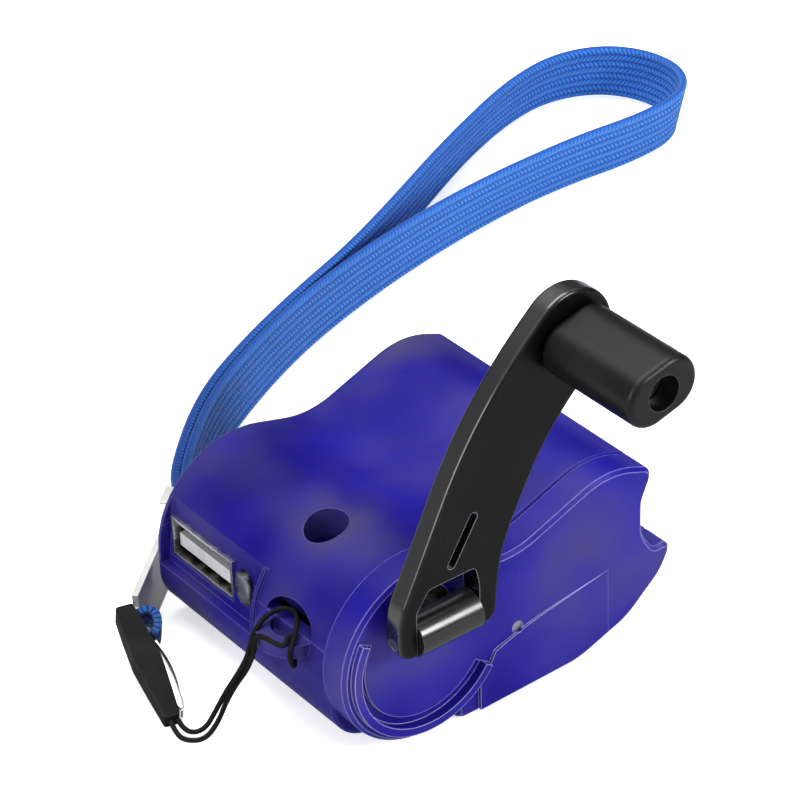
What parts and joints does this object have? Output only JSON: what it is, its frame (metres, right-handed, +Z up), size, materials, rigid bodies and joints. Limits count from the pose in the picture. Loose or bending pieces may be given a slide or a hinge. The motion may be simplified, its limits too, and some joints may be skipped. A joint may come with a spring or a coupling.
{
  "type": "hand crank phone charger",
  "caption": "Fish-shaped translucent case with a folding crank, a step-up gear train, a small generator, a USB socket and a woven wrist strap on a cord.",
  "frame": {"origin": "on the resting surface under the flat foot of the case, half-way along its width", "axes": "+X to the tail notch, -X to the USB socket, -Y to the crank, +Z up"},
  "size_m": [0.1507, 0.1341, 0.0571],
  "materials": {
    "case_shell": "frosted translucent violet blue",
    "gear_plate": "moulded",
    "white_gear": "moulded nylon",
    "black_moulding": "satin moulded",
    "black_clip": "satin moulded",
    "brass": "turned",
    "zinc_screw": "zinc plated",
    "steel": "ground",
    "nickel": "nickel plated",
    "gold_contact": "gold plated",
    "black_insulator": "moulded",
    "circuit_green": "solder resist",
    "black_component": "moulded",
    "tinned_wire": "tinned",
    "clear_lens": "clear epoxy",
    "ferrite": "ground",
    "lamination": "stamped",
    "copper_wire": "enamelled copper",
    "blue_webbing": "woven",
    "black_cord": "braided"
  },
  "bodies": {
    "case": {"upper_shell": "case_shell", "lower_shell": "case_shell", "crank_side_cover": "case_shell", "gear_plate": "gear_plate", "crank_bush": "black_moulding", "connector_clip": "black_clip", "rotor_bearing": "brass", "cover_screws": "zinc_screw", "case_screws": "zinc_screw", "idler_axles": "steel", "usb_shell": "nickel", "strap_crimp": "nickel", "clip_spring": "nickel", "generator_can": "nickel", "usb_contacts": "gold_contact", "usb_tongue": "black_insulator", "circuit_board": "circuit_green", "rectifier_diodes": "black_component", "regulator_chip": "black_component", "storage_inductor": "black_component", "smoothing_capacitor": "black_component", "led_legs": "tinned_wire", "charge_led": "clear_lens", "stator_core": "lamination", "stator_coils": "copper_wire", "wrist_strap": "blue_webbing", "lanyard_cord": "black_cord"},
    "crank": {"crank_hub": "black_moulding", "crank_gear": "white_gear", "crank_clip": "steel"},
    "arm": {"crank_arm": "black_moulding", "hinge_pin": "steel", "knob_screw": "zinc_screw"},
    "knob": {"crank_knob": "black_moulding"},
    "idler_one": {"first_idler": "white_gear"},
    "idler_two": {"second_idler": "white_gear"},
    "rotor": {"rotor_pinion": "brass", "rotor_shaft": "steel", "rotor_magnet": "ferrite"}
  },
  "joints": [
    {"name": "crank_spin", "type": "hinge", "parent": "case", "child": "crank", "pos_m": [-0.01578, -0.0206, 0.01887], "axis": [0, 1, 0], "continuous": true},
    {"name": "arm_fold", "type": "hinge", "parent": "crank", "child": "arm", "pos_m": [-0.01578, -0.02345, 0.01887], "axis": [1, 0, 0], "range_deg": [0, 180]},
    {"name": "knob_spin", "type": "hinge", "parent": "arm", "child": "knob", "pos_m": [0.00322, -0.02345, 0.05117], "axis": [0, 1, 0], "continuous": true},
    {"name": "idler_one_spin", "type": "hinge", "parent": "case", "child": "idler_one", "pos_m": [-0.0134, -0.016, 0.01201], "axis": [0, 1, 0], "continuous": true},
    {"name": "idler_two_spin", "type": "hinge", "parent": "case", "child": "idler_two", "pos_m": [-0.0021, -0.014, 0.0099], "axis": [0, 1, 0], "continuous": true},
    {"name": "rotor_spin", "type": "hinge", "parent": "case", "child": "rotor", "pos_m": [0.00722, -0.003, 0.01171], "axis": [0, 1, 0], "continuous": true}
  ],
  "couplings": [
    {"joint": "idler_one_spin", "follows": "crank_spin", "ratio": -1.4167},
    {"joint": "idler_two_spin", "follows": "crank_spin", "ratio": 4.0139},
    {"joint": "rotor_spin", "follows": "crank_spin", "ratio": -15.052}
  ]
}
